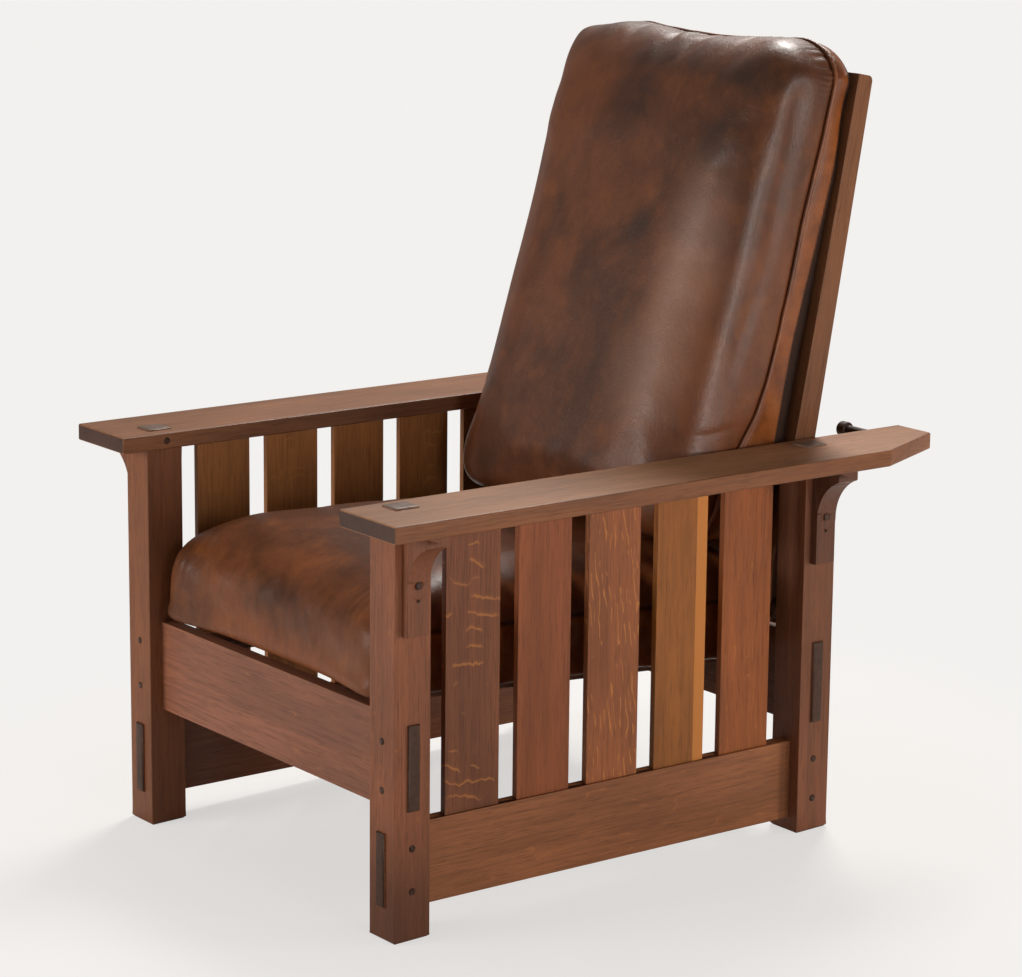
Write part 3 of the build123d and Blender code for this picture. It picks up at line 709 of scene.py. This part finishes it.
def blow_up(piece, frame_plane, cap, free):
    """Cloth with pressure. Each point keeps as much of its movement as it is free to, under a soft cap."""
    start = [v.co.copy() for v in piece.data.vertices]
    cloth = piece.modifiers.new("air", "CLOTH")
    cloth.settings.quality = 4
    cloth.settings.use_pressure = True
    cloth.settings.uniform_pressure_force = PRESSURE
    cloth.settings.tension_stiffness = 20
    cloth.settings.compression_stiffness = 12
    cloth.settings.bending_stiffness = 1.2
    cloth.settings.effector_weights.gravity = 0
    cloth.point_cache.frame_end = FRAMES
    for frame_number in range(1, FRAMES + 1):
        bpy.context.scene.frame_set(frame_number)
    graph = bpy.context.evaluated_depsgraph_get()
    blown = [v.co.copy() for v in piece.evaluated_get(graph).data.vertices]
    piece.modifiers.remove(cloth)
    bpy.context.scene.frame_set(1)
    inverse = frame_plane.inverted()
    for vertex, a, b in zip(piece.data.vertices, start, blown):
        move = b - a
        reach = move.length
        if reach > 1e-9:
            move *= cap * (1 - exp(-reach / cap)) / reach
        vertex.co = a + free(inverse @ a) * move


def subdivided(piece):
    """One level of subdivision, applied."""
    finer = piece.modifiers.new("finer", "SUBSURF")
    finer.levels = finer.render_levels = 1
    bpy.context.view_layer.objects.active = piece
    bpy.ops.object.modifier_apply(modifier="finer")


def keep_within(piece, frame_plane, low, high):
    """Presses any point that went past the room kept for the cushion back to its wall."""
    inverse = frame_plane.inverted()
    for vertex in piece.data.vertices:
        p = inverse @ vertex.co
        for i in range(3):
            p[i] = min(max(p[i], low[i]), high[i])
        vertex.co = frame_plane @ p


# %% [markdown]
# ## The back cushion
#
# Its front panel wraps over the top and down both sides to a piped seam, and a strip of orange hide, the
# boxing, closes the rear. The top corners stand up like ears, where the panel is gathered. Down each
# side the stuffing makes two long soft ridges with a furrow between them, and years of leaning left a
# few folds over the hips. These are moves of the skin's points in code, wide ones before the cloth and
# fine ones after it.

# %% Back cushion
SIDE_SEAM = [(0.0, 0.125), (0.08, 0.112), (0.126, 0.092), (0.17, 0.071), (0.22, 0.058), (0.293, 0.049),
             (0.373, 0.046), (0.453, 0.045), (0.506, 0.042), (0.578, 0.037), (0.70, 0.036)]
# Levels up to which deep shade is painted on the back's rear edge, along its height.
REAR_SHADE_LEVEL = [(0.0, 0.024), (0.283, 0.023), (0.425, 0.015), (0.565, 0.009), (0.70, 0.013)]
back_inverse = BACK_PLANE.inverted()


def back_seam_level(p):
    """How far the front seam of the back cushion stands off the back frame, at a place of its rim."""
    if p.y < 0.02:
        return 0.125
    return along_table(p.y, SIDE_SEAM)


def fill_back(p, normal):
    """Wide moves: a fuller rear edge, head, shoulders and ears."""
    side = -1 if p.x < 0 else 1
    flank = step(abs(p.x), 0.17, 0.225)
    rear = (1 - step(p.z, 0.004, 0.05)) * flank * (1 - 0.75 * step(p.y, 0.5, 0.64))
    shoulder = step(abs(p.x), 0.14, 0.22) * step(p.z, 0.08, 0.13)
    shoulder *= 1 - 0.7 * step(p.y, 0.52, 0.64)
    head = step(p.y, 0.54, 0.66)
    ear = lump((abs(p.x), p.y, p.z), (0.236, 0.65, 0.09), (0.036, 0.040, 0.034))
    round_corner = lump((abs(p.x), p.y, p.z), (0.25, 0.68, 0.055), (0.04, 0.04, 0.035)) * (side > 0)
    rear_corner = lump((abs(p.x), p.y, p.z), (0.24, 0.68, 0.0), (0.04, 0.04, 0.03)) * (side > 0)
    ear *= 1.0 if side < 0 else 0.2
    head *= 1 - (0.95 * step(-p.x, 0.16, 0.225) if side < 0 else 0.9 * step(p.x, 0.18, 0.245))
    out = 0.017 * rear + 0.006 * shoulder - 0.003 * ear - 0.005 * round_corner + 0.008 * rear_corner
    up = 0.012 * head - 0.006 * ear - 0.012 * round_corner - 0.017 * rear_corner
    forward = 0.010 * shoulder + 0.010 * ear
    return Vector((side * out, up, forward))


def back_crown(co):
    """Weight of the crowned front of the back cushion, which is relaxed most."""
    p = back_inverse @ co
    return step(p.z, 0.09, 0.15) * (1 - 0.8 * step(p.y, 0.60, 0.66))


def back_free(p):
    """How free a point is to be blown up: little at the corners, the foot and the rear."""
    corner = lump((abs(p.x), p.y, 0), (0.24, 0.66, 0), (0.06, 0.06, 1))
    foot = 1 - step(p.y, -0.01, 0.06)
    flank = step(abs(p.x), 0.22, 0.25)
    return (1 - 0.85 * corner) * (1 - 0.8 * foot) * (1 - 0.65 * flank) * (0.3 + 0.7 * step(p.z, 0.0, 0.04))


# %% Seam, furrows and folds of the back cushion
def fine_back(p, normal):
    """Fine moves: the valley of the seam, gathers at the top, the furrow down the sides and the folds."""
    side = -1 if p.x < 0 else 1
    seam = back_seam_level(p)
    rim = max(abs(p.x) / 0.25, (p.y - 0.33) / 0.36)
    at_rim = step(rim, 0.86, 0.95)
    valley = exp(-((p.z - seam) / 0.007) ** 2) * at_rim
    above = p.z - seam
    near_top = step(p.y, 0.60, 0.66) + 0.08 * step(abs(p.x), 0.2, 0.24)
    track = p.x if p.y > 0.655 else p.y * 1.3
    gather = sin(track * 470 + 3 * sin(track * 61)) * exp(-((above - 0.012) / 0.016) ** 2) * at_rim * near_top
    furrow_level = 0.098 + 0.028 * (1 - step(p.y, 0.2, 0.42)) - 0.006 * step(p.y, 0.45, 0.6)
    furrow = exp(-((p.z - furrow_level) / 0.014) ** 2) * step(abs(p.x), 0.2, 0.235)
    furrow *= step(p.y, 0.16, 0.28) * (1 - step(p.y, 0.6, 0.65))
    waver = 0.85 + 0.15 * sin(p.y * 43 + side)
    fold = p.y - 0.145 - 9 * (side * p.x - 0.235) ** 2 + 0.35 * (side * p.x - 0.235) + 0.4 * (p.z - 0.14)
    hip = lump((side * p.x, p.y, p.z), (0.233, 0.142, 0.14), (0.026, 0.03, 0.035))
    crease = exp(-(fold / 0.005) ** 2) * hip
    pillow = exp(-((fold - 0.016) / 0.012) ** 2) * hip
    shallow = 0.0016 * sin(p.y * 21 + 5 * p.x) * sin(p.x * 17 + 1.3) * step(p.z, 0.11, 0.15)
    tip = 0.012 * lump((-p.x, p.y, p.z), (0.250, 0.672, 0.095), (0.019, 0.022, 0.03))
    push = -0.0030 * valley + 0.0009 * gather - 0.0048 * furrow * waver
    return normal * (push - 0.0015 * crease + 0.0012 * pillow + shallow + tip)


# %% Making the back cushion
backrest = cushion_skin("back_cushion", "back_cushion_leather")
reshape(backrest, BACK_PLANE, fill_back)
smooth(backrest, 60, back_crown)
blow_up(backrest, BACK_PLANE, 0.009, back_free)
smooth(backrest, 2)
smooth(backrest, 16, back_crown)
subdivided(backrest)
reshape(backrest, BACK_PLANE, fine_back)
keep_within(backrest, BACK_PLANE, (-0.2615, -0.03, 0.0008), (0.2615, 0.7000, 0.2260))
print("back skin has", len(backrest.data.polygons), "faces")

# %% [markdown]
# ## The seat cushion
#
# The seat is one broad panel that rolls over the front edge, with boxing of the orange hide at its sides.
# Its front corners are full and wrinkled, its crown is low, and it bears flat on the slats of the deck.

# %% Seat cushion
seat_inverse = SEAT_PLANE.inverted()


def fill_seat(p, normal):
    """Wide moves: fuller corners and rims."""
    side = -1 if p.x < 0 else 1
    corner = lump((abs(p.x), p.y, 0), (0.25, 0.01, 0), (0.05, 0.05, 1)) * step(p.z, 0.0, 0.03)
    front = (1 - step(p.y, 0.0, 0.05)) * step(p.z, 0.0, 0.02)
    rim = step(abs(p.x), 0.2, 0.25) * step(p.z, 0.06, 0.12)
    base = (1 - step(p.z, 0.004, 0.03)) * lump((abs(p.x), p.y, 0), (0.23, 0.01, 0), (0.08, 0.05, 1))
    return Vector((side * (0.004 * corner + 0.002 * rim + 0.007 * base),
                   -0.003 * corner - 0.002 * front - 0.012 * base, 0.003 * rim))


def seat_crown(co):
    """Weight of the crowned top of the seat cushion."""
    p = seat_inverse @ co
    return step(p.z, 0.08, 0.13)


def seat_free(p):
    """How free a point is to be blown up: little at the corners, the base and the tail."""
    corner = lump((abs(p.x), p.y, 0), (0.25, 0.01, 0), (0.06, 0.06, 1))
    tail = step(p.y, 0.56, 0.64)
    return (1 - 0.8 * corner) * (1 - 0.8 * tail) * (0.3 + 0.7 * step(p.z, 0.0, 0.04))


# %% Wrinkles and waves of the seat cushion
def fine_seat(p, normal):
    """Fine moves: wrinkles of the corners and long shallow waves of the front."""
    side = -1 if p.x < 0 else 1
    corner = lump((abs(p.x), p.y, p.z), (0.215, 0.02, 0.10), (0.07, 0.06, 0.045))
    fan = side * p.x * 0.8 - p.y * 0.9 + p.z * 0.5
    lines = sin(fan * 330 + 2.5 * sin(p.x * 70) + 1.5 * sin(p.z * 55))
    lines *= 0.5 + 0.5 * sin(fan * 57 + p.z * 90)
    front = (1 - step(p.y, 0.03, 0.10)) * step(p.z, 0.02, 0.05)
    slant = sin(p.x * 62 + p.z * 38 + 1.7 * sin(p.z * 23 + p.x * 11))
    sag = exp(-((p.x - 0.09 + 0.55 * (p.z - 0.06)) / 0.011) ** 2) * front * (1 - step(p.z, 0.09, 0.13))
    seam = exp(-((p.z - 0.088) / 0.006) ** 2) * step(abs(p.x), 0.24, 0.255) * step(p.y, 0.05, 0.09)
    shallow = 0.0015 * sin(p.y * 17 + 4 * p.x) * sin(p.x * 15 + 0.8) * step(p.z, 0.09, 0.13)
    return normal * (0.0007 * corner * lines + 0.0010 * front * slant + 0.0012 * sag - 0.002 * seam + shallow)


# %% Making the seat cushion
seat = cushion_skin("seat_cushion", "seat_cushion_leather")
reshape(seat, SEAT_PLANE, fill_seat)
smooth(seat, 60, seat_crown)
blow_up(seat, SEAT_PLANE, 0.007, seat_free)
smooth(seat, 2)
subdivided(seat)
reshape(seat, SEAT_PLANE, fine_seat)
keep_within(seat, SEAT_PLANE, (-0.2638, -0.008, 0.0012), (0.2638, 0.6560, 0.1640))
print("seat skin has", len(seat.data.polygons), "faces")

# %% [markdown]
# ## Leather
#
# Old upholstery leather is mottled: reddish brown where it was rubbed with dye, nearly black in clouds,
# and tan where the colour has worn off, which on the back's panel also paints a soft sheen. It has a fine
# pebbled grain and long soft wrinkles. The sides of both cushions are cut from a more orange hide, which a
# mask painted on the mesh brings in. A second mask paints shade into the groove of each seam, and a third
# paints deep shade on the back's rear panel, which rolls round the back's edge toward the stiles.

# %% Leather material
SOFT_EDGE = 1.5


def nearness(place, middle, spread, inner):
    """1 around a place, fading to 0 away from it with a soft edge."""
    reach = place.vector("SUBTRACT", place, middle).stretched(*[1 / s for s in spread])
    return reach.vector("LENGTH", reach, output=1).ramp(inner, SOFT_EDGE, 1.0, 0.0)


def mask(place, name):
    """A number painted on the mesh."""
    return place.node("ShaderNodeAttribute", {"attribute_name": name}, None, 2)


def leather(name, shift=0.0, dark_places=(), wear_and_sheen_places=(), gain=1.0, gloss=0.26, coat=0.14):
    """Mottled leather. Each dark place, and each place of wear and painted sheen, is a middle and a spread.
    """
    material, shader, place = new_material(name)
    skin = place.vector("ADD", place, (shift, shift, shift))
    clouds = skin.noise(5.0, 4.0, 0.62, 0.5)
    blots = skin.noise(13.0, 5.0, 0.62, 0.6)
    rub = skin.noise(24.0, 4.0, 0.6)
    brushed = skin.stretched(1, 1, 0.4).noise(60.0, 3.0, 0.6)
    ground = clouds.ramp(0.36, 0.66).mix(colour("4e2b17", gain), colour("683a20", gain))
    ground = (rub.ramp(0.48, 0.75) * 0.45).mix(ground, colour("7a451f", gain))
    ground = (brushed.ramp(0.4, 0.7) * 0.25).mix(ground, colour("381e10"))
    # Lighter places of wear, which on the back's panel also paint a soft sheen.
    for middle, spread in wear_and_sheen_places:
        ground = (0.7 * nearness(place, middle, spread, 0.1)).mix(ground, colour("8a6450"))
    deep = 0.2 * clouds.ramp(0.56, 0.40)
    for middle, spread in dark_places:
        deep = deep.sum("MAXIMUM", deep, 0.78 * nearness(place, middle, spread, 0.2))
    ground = (deep * (0.45 + 0.45 * blots.ramp(0.34, 0.64))).mix(ground, colour("201510"))
    hide = rub.ramp(0.3, 0.7).mix(colour("60300f"), colour("7e441a"))
    ground = mask(place, "boxing").mix(ground, hide)
    # Painted shade: the back's rear edge goes nearly black, rougher and without coat, where it meets the
    # stiles.
    rear = mask(place, "painted_rear_shade")
    ground = (rear * 0.92).mix(ground, colour("140a05"))
    # Painted shade in the groove of each seam.
    ground = (mask(place, "seam") * 0.75).mix(ground, colour("24140e"))
    connect(shader, "Base Color", ground)

    pebbles = skin.node("ShaderNodeTexVoronoi", {"feature": "F1"}, {"Vector": skin, "Scale": 620.0})
    fine = skin.noise(1400, 2.0, 0.6)
    crease = skin.stretched(1, 1, 0.45).noise(34, 4.0, 0.6, 1.0)
    lines = abs(crease - 0.5).ramp(0.0, 0.045)
    faint = skin.noise(85, 3.0, 0.6, 0.8)
    creases = 0.32 * lines + 0.3 * abs(faint - 0.5).ramp(0.0, 0.05)
    connect(shader, "Roughness", 0.33 + 0.08 * blots + 0.1 * fine + 0.3 * rear)
    connect(shader, "Coat Weight", coat - coat * rear)
    bump = skin.node("ShaderNodeBump", None, {
        "Strength": 0.36, "Distance": 0.0009, "Height": 0.3 * pebbles + 0.22 * fine + creases})
    connect(shader, "Normal", bump)
    shader.inputs["Specular IOR Level"].default_value = gloss
    shader.inputs["Coat Roughness"].default_value = 0.36
    return material


# %% [markdown]
# ## Piping
#
# The front edge of the back cushion is finished with self piping: a cord wrapped in the same leather
# and caught in the seam. A rounded-rectangle path is cast onto the finished skin from outside, so the
# cord lies on the leather wherever the stuffing has pushed it.

# %% Laying a cord on a skin
def rounded_path(half_w, foot, head, corner, spacing):
    """Points and outward directions round a rounded rectangle, from the middle of its foot."""
    corners = [(half_w - corner, foot + corner, -90), (half_w - corner, head - corner, 0),
               (corner - half_w, head - corner, 90), (corner - half_w, foot + corner, 180)]
    track = [(Vector((0, foot, 0)), Vector((0, -1, 0)))]
    for x, y, start in corners:
        for turn in range(0, 91, 6):
            angle = radians(start + turn)
            out = Vector((cos(angle), sin(angle), 0))
            track.append((Vector((x, y, 0)) + corner * out, out))
    track.append(track[0])
    path = []
    for (p, out_p), (q, out_q) in zip(track, track[1:]):
        count = max(1, int((q - p).length / spacing))
        for i in range(count):
            share = i / count
            path.append((p.lerp(q, share), out_p.lerp(out_q, share).normalized()))
    return path


FAR_OUT = 0.12


def laid_path(piece, frame_plane, path, level):
    """Where each point of a path, at its level, meets the skin from outside, with the skin's normal there."""
    points = [v.co for v in piece.data.vertices]
    tree = BVHTree.FromPolygons(points, [face.vertices for face in piece.data.polygons])
    turn = frame_plane.to_3x3()
    laid = []
    for p, out in path:
        q = p.copy()
        q.z = level(p)
        start = frame_plane @ (q + FAR_OUT * out)
        hit, normal = tree.ray_cast(start, -(turn @ out))[:2]
        if hit is None:
            hit, normal = tree.find_nearest(frame_plane @ q)[:2]
        laid.append((hit, normal))
    return laid


def relaxed(line, times):
    """Closed line of points, evened out."""
    for _ in range(times):
        line = [(line[i - 1] + 2 * line[i] + line[(i + 1) % len(line)]) / 4 for i in range(len(line))]
    return line


# %% A cord along a line
def cord_of(name, line, radius, finish, body):
    """Closed tube round a line of points."""
    curve = bpy.data.curves.new(name, "CURVE")
    curve.dimensions = "3D"
    spline = curve.splines.new("POLY")
    spline.points.add(len(line) - 1)
    spline.use_cyclic_u = True
    for point, place in zip(spline.points, line):
        point.co = (*place, 1)
    curve.bevel_depth = radius
    curve.bevel_resolution = 3
    holder = bpy.data.objects.new(name, curve)
    bpy.context.scene.collection.objects.link(holder)
    bpy.ops.object.select_all(action="DESELECT")
    holder.select_set(True)
    bpy.context.view_layer.objects.active = holder
    bpy.ops.object.convert(target="MESH")
    tube = bpy.context.object
    bpy.ops.object.shade_smooth()
    tube.data.materials.clear()
    tube.data.materials.append(finish)
    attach(tube, body)


# %% Masks for the boxing, and the painted shade of the seams and the rear edge
def paint_mask(piece, name, value):
    """Stores a number at each vertex, from a function of its place."""
    layer = piece.data.attributes.get(name) or piece.data.attributes.new(name, "FLOAT", "POINT")
    layer.data.foreach_set("value", [value(v.co) for v in piece.data.vertices])


def back_boxing(co):
    """1 on the orange strip behind the piping."""
    p = back_inverse @ co
    return 1 - step(p.z - back_seam_level(p), -0.003, 0.0)


def back_seam_shade(co):
    """Painted shade in the groove of the seam, along the line of the piping."""
    p = back_inverse @ co
    return 1 - step(abs(p.z - back_seam_level(p)), 0.001, 0.0045)


def back_painted_rear_shade(co):
    """Painted deep shade on the rear panel, where it rolls round the rear edge of the boxing."""
    p = back_inverse @ co
    return 1 - step(p.z - along_table(p.y, REAR_SHADE_LEVEL), -0.001, 0.0015)


def seat_boxing(co):
    """1 on the orange strips at the sides of the seat."""
    p = seat_inverse @ co
    return (1 - step(p.z, 0.084, 0.088)) * step(abs(p.x), 0.235, 0.245) * step(p.y, 0.035, 0.05)


def seat_seam_shade(co):
    """Painted shade in the grooves of the seams above those strips."""
    p = seat_inverse @ co
    return (1 - step(abs(p.z - 0.087), 0.001, 0.005)) * step(abs(p.x), 0.235, 0.245) * step(p.y, 0.035, 0.05)


paint_mask(backrest, "boxing", back_boxing)
paint_mask(backrest, "seam", back_seam_shade)
paint_mask(backrest, "painted_rear_shade", back_painted_rear_shade)
paint_mask(seat, "boxing", seat_boxing)
paint_mask(seat, "seam", seat_seam_shade)
print("masks on the back:", [layer.name for layer in backrest.data.attributes if layer.domain == "POINT"])

# %% Leather on the cushions
SEAT_DARK = [((0.05, -0.43, 0.385), (0.15, 0.1, 0.045))]
# The seat's leather is made lighter, partly its own tone and partly painted light on a top that the back
# shades.
lightened_seat_leather = leather("leather_seat", 2.3, SEAT_DARK, gain=1.2, gloss=0.14, coat=0.07)
# Darker places, most of them across the top of the back's front panel.
BACK_DARK = [((0.01, 0.24, 1.06), (0.13, 0.2, 0.03)), ((-0.02, 0.23, 1.0), (0.06, 0.2, 0.06)),
             ((0.19, 0.24, 1.045), (0.09, 0.2, 0.03)), ((0.18, 0.22, 0.965), (0.05, 0.2, 0.045)),
             ((0.06, 0.19, 0.83), (0.03, 0.2, 0.035))]
# Places of wear on the back's panel, which also paint its soft sheen.
BACK_WEAR_AND_SHEEN = [((0.17, 0.15, 0.80), (0.055, 0.2, 0.14)), ((0.15, 0.11, 0.65), (0.07, 0.2, 0.08))]
back_leather = leather("leather_back", 0.7, BACK_DARK, BACK_WEAR_AND_SHEEN)
# The piping's leather is made lighter than the rest, which paints light along the cord.
lightened_piping_leather = leather("leather_piping_lightened", 1.4, gain=1.5)
for piece, name, finish in ((seat, "seat_cushion", lightened_seat_leather), (backrest, "back_cushion", back_leather)):
    piece.data.materials.clear()
    piece.data.materials.append(finish)
    bpy.ops.object.select_all(action="DESELECT")
    piece.select_set(True)
    bpy.context.view_layer.objects.active = piece
    bpy.ops.object.shade_smooth()
    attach(piece, body_of_node[name])
    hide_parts(name)
    print(name, "in", finish.name, "with", len(finish.node_tree.nodes), "nodes")

# %% Piping round the back cushion
PIPING_RADIUS = 0.0033
PIPING_STAND_OFF = 0.0028
PIPING_SPACING = 0.006
path = rounded_path(0.29, -0.05, 0.735, 0.05, PIPING_SPACING)
laid = laid_path(backrest, BACK_PLANE, path, back_seam_level)
line = relaxed([hit + PIPING_STAND_OFF * normal for hit, normal in laid], 3)
cord_of("back_cushion_front_piping", line, PIPING_RADIUS, lightened_piping_leather, "back_cushion")
length = sum((a - b).length for a, b in zip(line, line[1:] + line[:1]))
print("piping laid on", len(line), "points,", round(length, 3), "m long")
